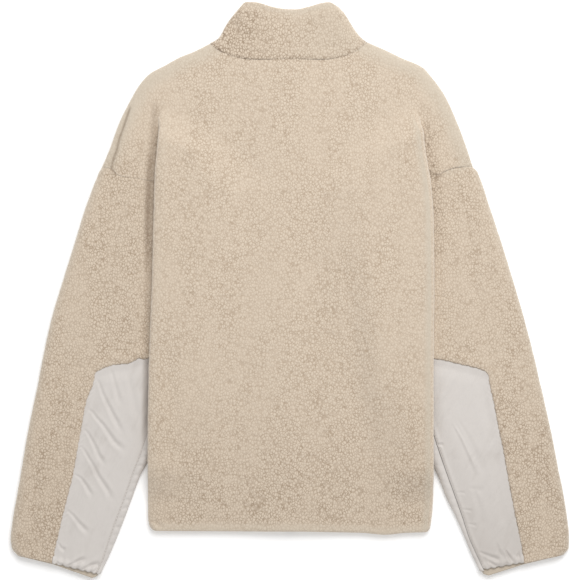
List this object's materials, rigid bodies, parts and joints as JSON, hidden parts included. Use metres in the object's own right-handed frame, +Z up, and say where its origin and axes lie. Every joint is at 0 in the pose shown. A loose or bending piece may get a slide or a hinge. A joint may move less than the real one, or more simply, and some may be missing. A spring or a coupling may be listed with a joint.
{
  "type": "sherpa jacket laid flat",
  "caption": "Boxy pile-fleece jacket lying face down, with stand collar, dropped shoulders, woven forearm panels, bound cuffs and a closed front zip.",
  "frame": {"origin": "on the surface the jacket lies on, below the middle of its outline", "axes": "+Z up from the surface, out of the jacket's back; +Y towards the collar; +X to the right seen from above"},
  "size_m": [0.7083, 0.7315, 0.0218],
  "materials": {
    "back": "curly pile",
    "collar": "curly pile",
    "front_left": "curly pile",
    "front_right": "curly pile",
    "sleeve_left": "curly pile",
    "sleeve_right": "curly pile",
    "forearm_panel_left": "plain woven, slight sheen",
    "forearm_panel_right": "plain woven, slight sheen",
    "underarm_strip_left": "plain woven, slight sheen",
    "underarm_strip_right": "plain woven, slight sheen",
    "cuff_binding_left": "stretch binding",
    "cuff_binding_right": "stretch binding",
    "zip_tape": "woven tape",
    "zip_chain": "satin",
    "zip_slider": "satin"
  },
  "bodies": {
    "jacket": {"back": "back", "collar": "collar", "front_left": "front_left", "front_right": "front_right", "sleeve_left": "sleeve_left", "sleeve_right": "sleeve_right", "forearm_panel_left": "forearm_panel_left", "forearm_panel_right": "forearm_panel_right", "underarm_strip_left": "underarm_strip_left", "underarm_strip_right": "underarm_strip_right", "cuff_binding_left": "cuff_binding_left", "cuff_binding_right": "cuff_binding_right", "zip_tape_left": "zip_tape", "zip_tape_right": "zip_tape", "zip_chain": "zip_chain", "zip_slider": "zip_slider"},
    "pull": {"zip_pull": "zip_slider"}
  },
  "joints": [
    {"name": "pull_hinge", "type": "hinge", "parent": "jacket", "child": "pull", "pos_m": [0, 0.304, 0.0026], "axis": [1, 0, 0], "range_deg": [0, 170]}
  ]
}
